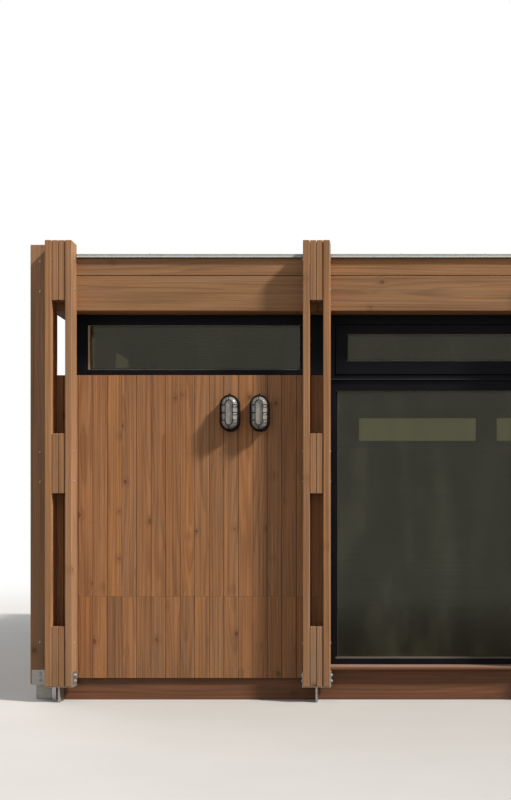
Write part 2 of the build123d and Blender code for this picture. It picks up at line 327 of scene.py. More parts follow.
def skin(rings, count, closed=False):
    """Faces between rings of points, with end caps unless the last ring joins the first."""
    faces = []
    for ring in range(rings if closed else rings - 1):
        low = ring * count
        high = (ring + 1) % rings * count
        for i in range(count):
            j = (i + 1) % count
            faces.append([low + i, low + j, high + j, high + i])
    if not closed:
        faces += [list(reversed(range(count))), [(rings - 1) * count + i for i in range(count)]]
    return faces


# An eased box has three points at each corner, one in each of the sides that meet there
box_points = [(corner, axis) for corner in product((-1, 1), repeat=3) for axis in range(3)]


def eased_faces():
    """The faces of an eased box: the points furthest in each direction, in order round it."""
    points = [Vector(2 * x if i == axis else x for i, x in enumerate(corner)) for corner, axis in box_points]
    faces = []
    for direction in product((-1, 0, 1), repeat=3):
        if any(direction):
            away = Vector(direction)
            across = away.orthogonal()
            up = away.cross(across)
            most = max(away.dot(p) for p in points)
            face = [i for i, p in enumerate(points) if away.dot(p) > most - 0.5]
            faces.append(sorted(face, key=lambda i: math.atan2(up.dot(points[i]), across.dot(points[i]))))
    return faces


box_faces = eased_faces()


def plank(pieces, low, high, along, side="front", ease=timber_ease):
    """A board between two corners, its edges eased. Its grain runs along an axis, 0 for X to 2 for Z."""
    low = Vector(low)
    high = Vector(high)
    middle = (low + high) / 2
    half = (high - low) / 2
    points = [Vector(middle[i] + corner[i] * (half[i] - (0 if i == axis else ease)) for i in range(3))
              for corner, axis in box_points]
    wide, thin = sorted((i for i in range(3) if i != along), key=lambda i: -half[i])
    start = grain_start(pieces)
    grain = [start + Vector((p[along], p[wide] - middle[wide], p[thin] - middle[thin])) for p in points]
    pieces.add(points, box_faces, side, grain=grain, board=board_nature(pieces))


def moulding(pieces, outline, ends, place, side="front", soil=()):
    """A length of one section. place takes a section point and the distance along to a point."""
    start = grain_start(pieces)
    middle = sum(u for u, v in outline) / len(outline)
    points = [place(u, v, end) for end in ends for u, v in outline]
    grain = [start + Vector((end, u - middle, v)) for end in ends for u, v in outline]
    pieces.add(points, skin(2, len(outline)), side, grain=grain, board=board_nature(pieces), soil=soil * 2)


def stud(pieces, form, centre, axis, side="front", twist=0.0, smooth=False):
    """A round or many-sided stud on a face, bevelled at the top and maybe at the foot."""
    rings = [(form.radius, form.foot)]
    if form.foot_bevel:
        rings = [(form.radius - form.foot_bevel[0], form.foot), (form.radius, form.foot + form.foot_bevel[1])]
    rings += [(form.radius, form.top - form.bevel[1]), (form.radius - form.bevel[0], form.top)]
    axis = Vector(axis)
    across = axis.orthogonal().normalized()
    other = axis.cross(across)
    points = []
    for radius, out in rings:
        for i in range(form.sides):
            angle = twist + 2 * math.pi * i / form.sides
            outward = math.cos(angle) * across + math.sin(angle) * other
            points.append(Vector(centre) + axis * out + radius * outward)
    pieces.add(points, skin(len(rings), form.sides), side, smooth)


def tube(pieces, path, radius, closed=False, count=10):
    """A round bar along a path of points."""
    path = [Vector(p) for p in path]
    last = len(path) - 1
    points = []
    across = None
    for i, p in enumerate(path):
        before = path[i - 1] if i or closed else p
        after = path[(i + 1) % len(path)] if i < last or closed else p
        onward = (after - before).normalized()
        across = onward.orthogonal() if across is None else across - onward * across.dot(onward)
        across.normalize()
        up = onward.cross(across)
        for k in range(count):
            angle = 2 * math.pi * k / count
            points.append(p + radius * (math.cos(angle) * across + math.sin(angle) * up))
    pieces.add(points, skin(len(path), count, closed), smooth=True)


def bent(path, radius, steps=5):
    """A path of straight runs with its corners rounded."""
    path = [Vector(p) for p in path]
    smooth = [path[0]]
    for before, corner, after in zip(path, path[1:], path[2:]):
        start = corner + (before - corner).normalized() * radius
        end = corner + (after - corner).normalized() * radius
        for i in range(steps + 1):
            t = i / steps
            smooth.append(start * (1 - t) ** 2 + corner * 2 * t * (1 - t) + end * t ** 2)
    return smooth + [path[-1]]


# Shader building


def colour(red, green, blue):
    """A colour as it looks on screen, from 0 to 255, as the shader needs it."""
    def linear(value):
        share = value / 255
        return share / 12.92 if share <= 0.04045 else ((share + 0.055) / 1.055) ** 2.4
    return linear(red), linear(green), linear(blue), 1.0


class Shader:
    """The nodes of a material or world, and short ways to add to them."""

    def __init__(self, owner):
        owner.use_nodes = True
        self.owner = owner
        self.tree = owner.node_tree
        self.tree.nodes.clear()

    def node(self, kind, inputs=None, **settings):
        node = self.tree.nodes.new(f"ShaderNode{kind}")
        for name, value in settings.items():
            setattr(node, name, value)
        for name, value in (inputs or {}).items():
            if isinstance(value, bpy.types.NodeSocket):
                self.tree.links.new(value, node.inputs[name])
            elif value is not None:
                node.inputs[name].default_value = value
        return node

    def math(self, operation, a, b=0.0):
        return self.node("Math", {0: a, 1: b}, operation=operation).outputs[0]

    def times(self, a, b):
        return self.math("MULTIPLY", a, b)

    def minus(self, a, b):
        return self.math("SUBTRACT", a, b)

    def total(self, *values):
        result = values[0]
        for value in values[1:]:
            result = self.math("ADD", result, value)
        return result

    def length(self, *parts):
        return self.math("SQRT", self.total(*(self.times(part, part) for part in parts)))

    def remap(self, value, low, high, to_low=0.0, to_high=1.0, smooth=True):
        inputs = {"Value": value, "From Min": low, "From Max": high, "To Min": to_low, "To Max": to_high}
        kind = "SMOOTHSTEP" if smooth else "LINEAR"
        return self.node("MapRange", inputs, interpolation_type=kind).outputs["Result"]

    def combine(self, x, y, z):
        return self.node("CombineXYZ", {0: x, 1: y, 2: z}).outputs[0]

    def separate(self, vector):
        return self.node("SeparateXYZ", {0: vector}).outputs

    def stretch(self, parts, *scales):
        return self.combine(*(self.times(part, scale) for part, scale in zip(parts, scales)))

    def noise(self, vector, scale=1.0, detail=2.0, roughness=0.5):
        inputs = {"Vector": vector, "Scale": scale, "Detail": detail, "Roughness": roughness}
        return self.node("TexNoise", inputs).outputs

    def mix(self, factor, a, b, blend="MIX"):
        inputs = {0: factor, 6: a, 7: b}
        return self.node("Mix", inputs, data_type="RGBA", blend_type=blend).outputs[2]

    def stain(self, paint, tint, where, strength):
        """Paint with another colour over it, at a strength, where that is."""
        return self.mix(self.times(where, strength), paint, tint)

    def lit(self, paint, light):
        """Paint made lighter or darker by a value."""
        return self.mix(1.0, paint, self.combine(light, light, light), "MULTIPLY")

    def attribute(self, name):
        return self.node("Attribute", attribute_name=name).outputs

    def place(self):
        return self.node("TexCoord").outputs["Object"]

    def ray(self, kind):
        """1 for the rays of one kind, such as Camera."""
        return self.node("LightPath").outputs[f"Is {kind} Ray"]

    def bump(self, height, distance, strength, normal=None):
        inputs = {"Height": height, "Distance": distance, "Strength": strength, "Normal": normal}
        return self.node("Bump", inputs).outputs[0]

    def principled(self, **sockets):
        """A Principled shader. Its sockets are named with _ for a space."""
        inputs = {name.replace("_", " "): value for name, value in sockets.items()}
        return self.node("BsdfPrincipled", inputs).outputs[0]

    def either(self, factor, a, b):
        """One shader or another, by a factor."""
        return self.node("MixShader", {0: factor, 1: a, 2: b}).outputs[0]

    def end(self, surface, kind="Material"):
        """Ends the nodes in an output, and gives the material or world."""
        self.node(f"Output{kind}", {"Surface": surface})
        return self.owner


def new_material(name):
    """The nodes of a new material."""
    return Shader(bpy.data.materials.new(name))


# Timber: growth rings round a pith, fibres, streaks and knots in the grain coordinates of a board
knot_cell = (0.4, 0.12, 0.08)
knot_scatter = 0.85
knot_long_share = 0.8
knot_deep_share = 0.25
knot_smallest = 0.0015
knot_largest = 0.0115
knot_soft = (-0.002, 0.0015)
knot_halo = 0.035
knot_rim = 0.003
tone_strength = 0.1
warm_red = 0.05
warm_blue = -0.09
aged_wood = colour(150, 124, 101)
knot_wood = colour(104, 56, 28)
rim_wood = colour(62, 34, 18)
splash_mud = colour(92, 74, 58)
joint_darkening = colour(40, 25, 15)


def drawn_out(s, parts, long, cross, detail=2.0, roughness=0.5):
    """Noise drawn out along the grain."""
    return s.noise(s.stretch(parts, long, cross, cross), 1.0, detail, roughness)


def knot_marks(s, parts, knots):
    """Shares of knot, rim and halo, and how far across from its knot a point lies.

    Each cell of a stretched pattern has one knot at most.
    """
    cell_parts = [s.math("DIVIDE", part, size) for part, size in zip(parts, knot_cell)]
    cells = s.node("TexVoronoi",
                   {"Vector": s.combine(*cell_parts), "Scale": 1.0, "Randomness": knot_scatter})
    middles = s.separate(cells.outputs["Position"])
    x, y, z = (s.minus(part, s.times(middle, size)) for part, middle, size in zip(parts, middles, knot_cell))
    chance = s.separate(cells.outputs["Color"])[0]
    radius = s.remap(chance, 1 - knots, 1.0, -0.004, knot_largest, smooth=False)
    wobble = s.times(s.minus(s.noise(s.combine(*parts), 70, 1)[0], 0.5), 0.006)
    far = s.total(s.length(s.times(x, knot_long_share), y, s.times(z, knot_deep_share)), wobble)
    outside = s.minus(far, radius)
    shown = s.math("GREATER_THAN", radius, knot_smallest)
    knot = s.times(shown, s.remap(outside, *knot_soft, 1.0, 0.0))
    halo = s.times(shown, s.remap(outside, 0.0, knot_halo, 1.0, 0.0))
    rim = s.times(shown, s.remap(s.math("ABSOLUTE", outside), 0.0, knot_rim, 1.0, 0.0))
    return knot, rim, halo, y


def late_wood_share(s, parts, ring, halo, across):
    """The dark part of each growth ring. Rings wander along the trunk and part round a knot."""
    wander = s.separate(drawn_out(s, parts, 0.45, 4.0)["Color"])
    bent_y = s.total(parts[1], s.times(s.minus(wander[0], 0.5), 0.045), s.times(s.times(across, halo), -0.75))
    bent_z = s.total(parts[2], s.times(s.minus(wander[1], 0.5), 0.09))
    rough_ring = s.times(drawn_out(s, parts, 3.0, 60.0)[0], 0.5)
    phase = s.math("FRACT", s.total(s.math("DIVIDE", s.length(bent_y, bent_z), ring), rough_ring))
    return s.times(s.remap(phase, 0.25, 0.85), s.remap(phase, 0.9, 1.0, 1.0, 0.0))


def timber(name, pale, late, ring=0.0075, rings=0.4, streaks=0.22, knots=0.4, weather=0.25,
           along=None, shine=0.62):
    """Pine or cedar. along gives the grain's axis where a piece has no grain coordinates."""
    s = new_material(name)
    if along is None:
        parts = tuple(s.separate(s.attribute("grain")["Vector"]))
    else:
        here = s.separate(s.place())
        parts = tuple(here[i] for i in {"x": (0, 1, 2), "y": (1, 0, 2)}[along])
    board_tone, warmth, _ = s.separate(s.attribute("board")["Vector"])
    knot, rim, halo, across = knot_marks(s, parts, knots)
    late_wood = late_wood_share(s, parts, ring, halo, across)
    streak = drawn_out(s, parts, 0.9, 70.0, 3.0, 0.6)[0]
    cloud = drawn_out(s, parts, 1.6, 9.0)[0]
    fibre = drawn_out(s, parts, 12.0, 800.0, 1.0)[0]
    aged = drawn_out(s, parts, 0.7, 38.0, 3.0, 0.6)[0]

    # Clean wood, from board to board and along each board
    wood = s.stain(colour(*pale), colour(*late), late_wood, rings)
    wood = s.lit(wood, s.total(
        s.remap(streak, 0.3, 0.7, 1 - streaks, 1 + streaks, smooth=False),
        s.remap(cloud, 0.3, 0.7, -0.12, 0.12, smooth=False),
        s.remap(fibre, 0.3, 0.7, -0.06, 0.06, smooth=False),
        s.times(board_tone, tone_strength),
    ))
    red = s.total(1.0, s.times(warmth, warm_red))
    blue = s.total(1.0, s.times(warmth, warm_blue))
    wood = s.mix(1.0, wood, s.combine(red, 1.0, blue), "MULTIPLY")
    wood = s.mix(s.remap(aged, 0.42, 0.68, 0.0, weather), wood, aged_wood)
    wood = s.stain(wood, colour(*late), halo, 0.35)
    wood = s.stain(wood, knot_wood, knot, 0.55)
    wood = s.stain(wood, rim_wood, rim, 0.7)

    # Splashes low down, and darker in the joints
    height = s.separate(s.place())[2]
    splash = s.times(s.remap(height, 0.1, 0.5, 0.5, 0.0), s.noise(s.place(), 9.0, 3.0)[0])
    wood = s.stain(wood, splash_mud, splash, 0.5)
    wood = s.stain(wood, joint_darkening, s.attribute("soil")["Fac"], 0.6)

    relief = s.total(s.times(late_wood, 0.5), s.times(fibre, 0.5), s.times(knot, 0.7))
    gloss = s.total(shine, s.times(late_wood, -0.1), s.times(streak, 0.12))
    return s.end(s.principled(Base_Color=wood, Roughness=gloss, Normal=s.bump(relief, 0.0006, 0.6),
                              Specular_IOR_Level=0.35))


def galvanised(name, tint, spangle=90.0, rough=0.42, metal=0.85, stain=0.25):
    """Zinc-coated steel with its crystals and a few dull patches."""
    s = new_material(name)
    place = s.place()
    crystals = s.node("TexVoronoi", {"Vector": place, "Scale": spangle}, feature="F1")
    grey = s.separate(crystals.outputs["Color"])[0]
    patch = s.remap(s.noise(place, 14.0, 4.0)[0], 0.45, 0.7)
    streak = s.noise(s.stretch(s.separate(place), 25.0, 25.0, 3.0))[0]
    paint = s.lit(colour(*tint), s.total(0.86, s.times(grey, 0.2), s.times(streak, 0.12)))
    paint = s.stain(paint, colour(196, 192, 184), patch, stain)
    gloss = s.total(rough, s.times(patch, 0.25), s.times(grey, 0.08))
    relief = s.total(s.times(grey, 0.4), patch)
    return s.end(s.principled(Base_Color=paint, Metallic=metal, Roughness=gloss,
                              Normal=s.bump(relief, 0.0002, 0.5)))


def roof_metal(name, tint):
    """Dulled sheet, slightly uneven in its pans, with faint washes of dirt."""
    s = new_material(name)
    place = s.place()
    parts = s.separate(place)
    canning = s.noise(s.stretch(parts, 2.2, 0.7, 1.0), detail=1.0)[0]
    wash = s.noise(s.stretch(parts, 9.0, 1.2, 4.0), detail=4.0)[0]
    speck = s.noise(place, 160.0)[0]
    paint = s.lit(colour(*tint), s.total(0.88, s.times(wash, 0.2), s.times(speck, 0.05)))
    paint = s.mix(s.remap(wash, 0.55, 0.75, 0.0, 0.3), paint, colour(120, 116, 106))
    gloss = s.total(0.56, s.times(wash, 0.2))
    uneven = s.bump(canning, 0.004, 0.6)
    return s.end(s.principled(Base_Color=paint, Metallic=0.1, Roughness=gloss,
                              Normal=s.bump(speck, 0.0001, 0.4, uneven), Specular_IOR_Level=0.2))


def powder_coat(name, tint, rough, dust):
    """Dull coating with a fine orange peel and a little dust."""
    s = new_material(name)
    place = s.place()
    peel = s.noise(place, 420.0)[0]
    cloud = s.noise(place, 6.0, 4.0)[0]
    paint = s.stain(colour(*tint), colour(92, 90, 90), s.remap(cloud, 0.4, 0.75), dust)
    gloss = s.total(rough, s.times(cloud, 0.16))
    return s.end(s.principled(Base_Color=paint, Roughness=gloss, Normal=s.bump(peel, 0.0001, 0.35),
                              Specular_IOR_Level=0.1))


def pane_glass(name, tint, dust):
    """Tinted glazing with a thin film of dust, which lets the light of the lamps through. Its tint is partly
    painted reflection.
    """
    s = new_material(name)
    place = s.place()
    smear = s.noise(place, 3.5, 4.0)[0]
    film = s.noise(s.stretch(s.separate(place), 5.0, 5.0, 1.6), 1.0, 5.0, 0.65)[0]
    glass = s.principled(Base_Color=colour(*tint), Roughness=s.remap(smear, 0.35, 0.75, 0.0, 0.02),
                         Transmission_Weight=s.remap(film, 0.4, 0.72, 1.0, 1.0 - dust), IOR=1.42,
                         Specular_Tint=(1.0, 0.98, 0.8, 1.0))
    each_face = [math.sqrt(value) for value in colour(*tint)]
    clear = s.node("BsdfTransparent", {"Color": each_face}).outputs[0]
    return s.end(s.either(s.ray("Shadow"), glass, clear))


def globe_glass(name):
    """Milky pressed glass."""
    s = new_material(name)
    place = s.place()
    milk = s.noise(place, 26.0, 3.0)[0]
    grime = s.noise(place, 60.0, 4.0)[0]
    paint = s.mix(s.remap(milk, 0.35, 0.7), colour(124, 119, 112), colour(150, 143, 136))
    paint = s.mix(s.remap(grime, 0.5, 0.8, 0.0, 0.35), paint, colour(109, 100, 88))
    return s.end(s.principled(Base_Color=paint, Roughness=s.remap(grime, 0.3, 0.8, 0.12, 0.4),
                              Coat_Weight=0.6, Coat_Roughness=0.08))


def rubber(name):
    """Dull black gasket."""
    s = new_material(name)
    grain = s.noise(s.place(), 240.0)[0]
    paint = s.mix(grain, colour(16, 16, 17), colour(30, 30, 31))
    return s.end(s.principled(Base_Color=paint, Roughness=s.remap(grain, 0.3, 0.7, 0.6, 0.8),
                              Normal=s.bump(grain, 0.0001, 0.4)))


# Materials, with their colours as they look on screen
post_timber = timber("post_timber", (162, 117, 79), (113, 75, 46), streaks=0.28, weather=0.45)
wall_boards = timber("wall_boards", (160, 110, 70), (110, 69, 39), streaks=0.3, knots=0.85, weather=0.2)
beam_timber = timber("beam_timber", (156, 113, 75), (108, 72, 44), ring=0.009, knots=0.45)
# The end beads' pale timber is partly their own colour and partly painted sunlight.
painted_sunlight_bead_timber = timber("painted_sunlight_bead_timber", (190, 162, 128), (160, 130, 98), knots=0.0, weather=0.1)
base_timber = timber("base_timber", (120, 75, 48), (84, 49, 30), knots=0.3, weather=0.08)
sill_timber = timber("sill_timber", (144, 119, 104), (108, 83, 70), knots=0.2)
soffit_timber = timber("ceiling_boards", (140, 96, 60), (98, 60, 34))
floor_timber = timber("floor_boards", (150, 112, 76), (110, 76, 48), knots=0.3, shine=0.45)
joist_timber = timber("joist_timber", (150, 112, 74), (112, 74, 44), along="y")
lining_board = timber("inner_board", (168, 130, 92), (132, 94, 60), ring=0.012, rings=0.35, along="x")
shoe_metal = galvanised("galvanised_steel", (168, 164, 158))
bolt_metal = galvanised("bolt_steel", (172, 168, 160), spangle=200.0, rough=0.5, metal=0.6, stain=0.1)
nail_metal = galvanised("nail_steel", (112, 90, 70), spangle=400.0, rough=0.5, stain=0.1)
edge_metal = galvanised("flashing_metal", (164, 166, 163), spangle=160.0, rough=0.6, metal=0.45, stain=0.06)
sheet_metal = roof_metal("roof_metal", (138, 141, 140))
black_frame = powder_coat("black_frame", (10, 10, 16), rough=0.5, dust=0.02)
light_black = powder_coat("light_black", (14, 14, 15), rough=0.45, dust=0.12)
# The dark olive tint is partly the glass's own and partly painted reflection of foliage.
window_glass = pane_glass("window_glass", (134, 134, 112), dust=0.09)
milky_glass = globe_glass("light_globe")
gasket = rubber("gasket")
bead_coat = powder_coat("bead_coat", (112, 106, 95), rough=0.6, dust=0.05)
# The drip is a lighter, bluer grey than the frames: painted reflection of the sky along the transom.
painted_reflection_drip_coat = powder_coat("painted_reflection_drip_coat", (36, 37, 44), rough=0.45, dust=0.02)


# Built-up posts


block_levels = (
    blocks_low.z,
    (blocks_low.z + blocks_high.z - block_high) / 2,
    blocks_high.z - block_high,
)


def post(pieces, x, side):
    """Two planks with three blocks of two plies between them."""
    for way in (-1, 1):
        middle = x + way * (post_wide - plank_thick) / 2
        plank(pieces, (middle - plank_thick / 2, -plank_face, planks_low.z),
              (middle + plank_thick / 2, -beam_face, planks_high.z), 2, side)
    for level in block_levels:
        for way in (-1, 1):
            middle = x + way * (plank_thick + ply_gap) / 2
            outer = plank_thick / 2 - ply_side_gap
            left, right = sorted((middle - way * plank_thick / 2, middle + way * outer))
            plank(pieces, (left, ply_set_back - plank_face, level),
                  (right, -beam_face, level + block_high), 2, side, ply_ease)


for number, side in enumerate(sides):
    posts = Pieces(11 + number)
    for line in post_lines:
        post(posts, line, side)
    posts.make(f"{side}_posts", post_timber, [f"{side}_post_planks", f"{side}_post_blocks"])


# Bolts through the blocks, and screws in the shoes


def fasten(pieces, forms, centre, way, side):
    """Studs one on another on the side of a post, with a hexagon turned at random."""
    twist = pieces.random.uniform(0, 1)
    for form in forms:
        stud(pieces, form, centre, (way, 0, 0), side, twist if form.sides == 6 else 0.0)


bolts = Pieces(5)
screws = Pieces(6)
post_middle = -(plank_face + beam_face) / 2
for side in sides:
    for line in post_lines:
        for way in (-1, 1):
            bolt_end = (washer, nut, bolt_tip) if way == nut_sides[side] else (bolt_head,)
            for level in block_levels:
                for spread in (-bolt_spread, bolt_spread):
                    height = level + block_high / 2 - bolt_drop + spread
                    fasten(bolts, bolt_end, (line + way * post_wide / 2, post_middle, height), way, side)
            for rise in shoe_screw_levels:
                centre = (line + way * (post_wide / 2 + shoe_steel), post_middle, planks_low.z + rise)
                fasten(screws, (screw_washer, screw_head), centre, way, side)
bolts.make("block_bolts", bolt_metal)
screws.make("shoe_screws", bolt_metal)


# Upright boards with tongues, V-joints and nails


def cladding_board(pieces, low, high, span, side, last):
    """One board between two joints, with its groove on the left and its tongue on the right."""
    thick = cladding_thick - pieces.random.uniform(0, board_sway)
    left = low + board_gap / 2
    right = high - board_gap / 2
    tip = right + tongue_deep
    face = thick - board_ease
    groove_end = left + tongue_deep + 2 * groove_play
    groove_low = tongue_low - groove_play
    groove_high = tongue_high + groove_play
    tongue = [(right, tongue_low, 1), (tip, tongue_low, 1), (tip, tongue_high, 1), (right, tongue_high, 1)]
    # The front edges and hidden faces are marked so that the shader darkens the joints.
    front = [(right, face, board_edge_darkening), (right - board_ease, thick, 0), (left + board_ease, thick, 0),
             (left, face, board_edge_darkening)]
    groove = [(left, groove_high, 1), (groove_end, groove_high, 1), (groove_end, groove_low, 1),
              (left, groove_low, 1)]
    section = [(left, 0, 1), (right, 0, 1)] + ([] if last else tongue) + front + groove
    moulding(pieces, [(u, v) for u, v, soil in section], span, lambda u, v, end: (u, -wall_face - v, end),
             side, [soil for u, v, soil in section])


def wall_runs(side, end):
    """Stretches of closed wall between glazed bays, where end is half the whole length."""
    if side != "front":
        return [(-end, end)]
    inner = -post_lines[glass_bays[0]] - mullion_wide / 2
    return [(-end, -inner), (inner, end)]


def joints(low, high):
    """The board joints between two ends, on one grid."""
    first = math.ceil((low - board_joint_x) / board_cover)
    last = math.floor((high - board_joint_x) / board_cover)
    lines = [board_joint_x + board_cover * i for i in range(first, last + 1)]
    return [low] + [line for line in lines if low + board_least < line < high - board_least] + [high]


board_spans = (
    (cladding_low.z, board_end_level - board_end_gap / 2),
    (board_end_level + board_end_gap / 2, cladding_high.z),
)
nail_first = board_end_level + nail_from_end
nail_last = cladding_high.z - 2 * nail_from_end
nail_levels = [nail_first + (nail_last - nail_first) * i / (nail_rows - 1) for i in range(nail_rows)]
nail_levels += [cladding_low.z + 2 * nail_from_end, board_end_level - nail_from_end]
nails = Pieces(7)


def nail_board(low, high, side):
    """Two domed nails at each level of one board, pressed slightly into its face."""
    for level in nail_levels:
        for x in (low + nail_from_edge, high - nail_from_edge):
            spot = (x, nail_sunk - cladding_face, level + nails.random.uniform(-nail_sway, nail_sway))
            stud(nails, nail_head, spot, (0, -1, 0), side, smooth=True)


for number, side in enumerate(sides):
    boards = Pieces(23 + number)
    for run_low, run_high in wall_runs(side, reach(side, cladding_face, cladding_thick)):
        lines = joints(run_low, run_high)
        for low, high in zip(lines, lines[1:]):
            for span in board_spans:
                cladding_board(boards, low, high, span, side, high == run_high)
            if high - low > 3 * nail_from_edge:
                nail_board(low, high, side)
    boards.make(f"{side}_boards", wall_boards, [f"{side}_cladding"])
nails.make("board_nails", nail_metal)


# Beams, fascia, ledges, base and sills


def butted(ends):
    """The ends of boards in a row, with a fine joint between them."""
    return [(low + butt_joint / 2, high - butt_joint / 2) for low, high in zip(ends, ends[1:])]


def between_posts(bay, gap):
    """The ends of what fills a bay up to a gap from its posts."""
    return post_lines[bay] + post_wide / 2 + gap, post_lines[bay + 1] - post_wide / 2 - gap


def run_of_planks(pieces, side, outer, thick, foot, top, gap=butt_joint, breaks=inner_lines):
    """Planks end to end along a side, joined at some of the post lines."""
    end = reach(side, outer, thick + gap)
    ends = [-end] + [line for line in breaks if -end < line < end] + [end]
    for low, high in butted(ends):
        plank(pieces, (low, -outer, foot), (high, thick - outer, top), 0, side)


for number, side in enumerate(sides):
    beam = Pieces(31 + number)
    run_of_planks(beam, side, beam_face, beam_thick, head, beam_high.z, gap=0)
    beam.make(f"{side}_beam_timber", beam_timber, [f"{side}_beam"])

fascia = Pieces(41)
ledges = Pieces(42)
base = Pieces(43)
for side in sides:
    run_of_planks(fascia, side, beam_face, fascia_thick, fascia_low.z + fascia_seam, fascia_high.z)
    for low, high in wall_runs(side, reach(side, wall_face, wall_face - frame_face + butt_joint)):
        plank(ledges, (low, -wall_face, ledge_low.z), (high, -frame_face, ledge_high.z), 0, side, ledge_ease)
    run_of_planks(base, side, wall_face, base_thick, base_low.z, base_high.z, breaks=[middle_line])
fascia.make("fascia_timber", beam_timber, ["roof_fascia"])
ledges.make("ledges", beam_timber, ["ledge_boards"])
base.make("base_timber", base_timber, ["base_boards"])

sills = Pieces(44)
shaded_nosings = Pieces(45)
for low, high in butted([sill_low.x, middle_line, sill_high.x]):
    plank(sills, (low, -beam_face, sill_low.z), (high, sill_high.y, sill_high.z), 0)
# The nosings take the darker base timber: painted shade on the front of the sills.
for bay in glass_bays:
    low, high = between_posts(bay, butt_joint)
    plank(shaded_nosings, (low, sill_low.y, sill_low.z), (high, -beam_face - butt_joint, sill_high.z), 0,
          ease=nosing_ease)
sills.make("sills", sill_timber, ["window_sills"])
shaded_nosings.make("sill_nosings_painted_shade", base_timber)


# Floor and ceiling


def planked(pieces, low, high, wide, ease):
    """A floor or ceiling of boards that run along X, each in two lengths."""
    count = round((high.y - low.y) / wide)
    step = (high.y - low.y) / count
    for i in range(count):
        y = low.y + step * i
        joint = pieces.random.uniform(low.x, high.x) * planked_joint_share
        for start, end in ((low.x, joint), (joint, high.x)):
            plank(pieces, (start + planked_end_gap, y + planked_side_gap, low.z),
                  (end - planked_end_gap, y + step - planked_side_gap, high.z), 0, ease=ease)


floor_planks = Pieces(51)
planked(floor_planks, floor_low, floor_high, floor_board, floor_ease)
floor_planks.make("floor_planks", floor_timber, ["floor_deck"])
ceiling_planks = Pieces(52)
planked(ceiling_planks, ceiling_low, ceiling_high, ceiling_board, ceiling_ease)
ceiling_planks.make("ceiling_planks", soffit_timber, ["ceiling"])


# Window joinery with mitred corners


def shrunk(opening, foot, right, head, left):
    """An opening (low x, high x, low z, high z) less a width on each side."""
    return opening[0] + left, opening[1] - right, opening[2] + foot, opening[3] - head


def frame_ring(pieces, opening, widths, section, side):
    """Four mitred members inside an opening. widths are foot, right, head and left.

    A section point is (share of the member's width, more inward, distance out from the middle).
    """
    low_x, high_x, low_z, high_z = opening
    corners = ((low_x, low_z), (high_x, low_z), (high_x, high_z), (low_x, high_z))
    onward = ((1, 0), (0, 1), (-1, 0), (0, -1))
    inward = onward[1:] + onward[:1]
    lengths = (high_x - low_x, high_z - low_z) * 2
    for i in range(4):
        points = []
        for last in (False, True):
            for share, more, out in section:
                deep = share * widths[i] + more
                along = share * widths[i - 1] + more + mitre_gap
                if last:
                    along = lengths[i] - share * widths[(i + 1) % 4] - more - mitre_gap
                x, z = (corners[i][n] + onward[i][n] * along + inward[i][n] * deep for n in (0, 1))
                points.append((x, -out, z))
        pieces.add(points, skin(2, len(section)), side)


def even_ring(pieces, opening, edge, section, side):
    """A ring of one section all round, an even edge inside an opening."""
    frame_ring(pieces, shrunk(opening, edge, edge, edge, edge), (0, 0, 0, 0), section, side)


def rounded_face(back, front, r):
    """A section from the back round two rounded edges: (share of its width, more, distance out)."""
    return [
        (0, 0, back), (0, 0, front - r), (0, 0.3 * r, front - 0.3 * r), (0, r, front),
        (1, -r, front), (1, -0.3 * r, front - 0.3 * r), (1, 0, front - r),
    ]


def stopped_section(back, front, stop_front):
    """The section of a frame member: flat face, rounded edges and a stop behind the glass."""
    stop = [(1, 0, stop_front), (1, stop_lap, stop_front), (1, stop_lap, back)]
    return rounded_face(back, front, edge_round) + stop


def gasket_section(glass_front):
    """A soft strip on the outer face of a pane."""
    r = gasket_wide
    return (
        (0, 0, glass_front - gasket_sunk), (0, 0, glass_front + 0.7 * r),
        (0, 0.35 * r, glass_front + 0.85 * r), (0, 0.75 * r, glass_front + 0.6 * r),
        (0, r, glass_front + 0.1 * r), (0, r, glass_front - gasket_sunk),
    )


def spacer_section(glass_back):
    """The dark bar that keeps the two sheets of a pane apart."""
    back = glass_back + glass_sheet
    front = glass_back + glass_thick - glass_sheet
    return (
        (0, 0, back), (0, 0, front), (0, spacer_bevel, front),
        (0, spacer_wide, back + spacer_bevel), (0, spacer_wide, back),
    )


def window_span(side, bay):
    """The two ends of the window in a bay, between the mullions or at the corner."""
    end = reach(side, frame_face, frame_deep + butt_joint)
    low = -end if bay == 0 else post_lines[bay] + mullion_wide / 2
    high = end if bay == bays - 1 else post_lines[bay + 1] - mullion_wide / 2
    return low, high


glass_stop = wall_inner + stop_deep
sash_glass_stop = glass_stop + sash_stop_deep
frame_section = stopped_section(wall_inner, frame_face, glass_stop)
sash_section = stopped_section(glass_stop, -sash_low.y, sash_glass_stop)

ribbon = Pieces(61)
gaskets = Pieces(62)
spacers = Pieces(63)
beads = Pieces(66)
end_beads = Pieces(70)
strips = Pieces(69)


def bead(pieces, opening, glass_front, side):
    """A flat bar that holds a pane from outside."""
    low_x, high_x, low_z, high_z = opening
    plank(pieces, (low_x, -glass_front - bead_deep, low_z), (high_x, -glass_front - bead_gap, high_z),
          0 if high_x - low_x > high_z - low_z else 2, side, bead_ease)


def glaze(opening, glass_back, widths, side, left_in=strips, right_in=strips):
    """Beads, gasket and spacer round one pane. widths are those of the beads at foot, sides and head."""
    low_x, high_x, low_z, high_z = opening
    front = glass_back + glass_thick
    foot, end, top = widths
    inner = shrunk(opening, foot, end, top, end)
    bead(beads, (low_x, high_x, low_z, inner[2]), front, side)
    bead(beads, (low_x, high_x, inner[3], high_z), front, side)
    bead(left_in, (low_x, inner[0], inner[2], inner[3]), front, side)
    bead(right_in, (inner[1], high_x, inner[2], inner[3]), front, side)
    even_ring(gaskets, inner, -bead_gap, gasket_section(front), side)
    even_ring(spacers, opening, glass_gap + spacer_edge, spacer_section(glass_back), side)


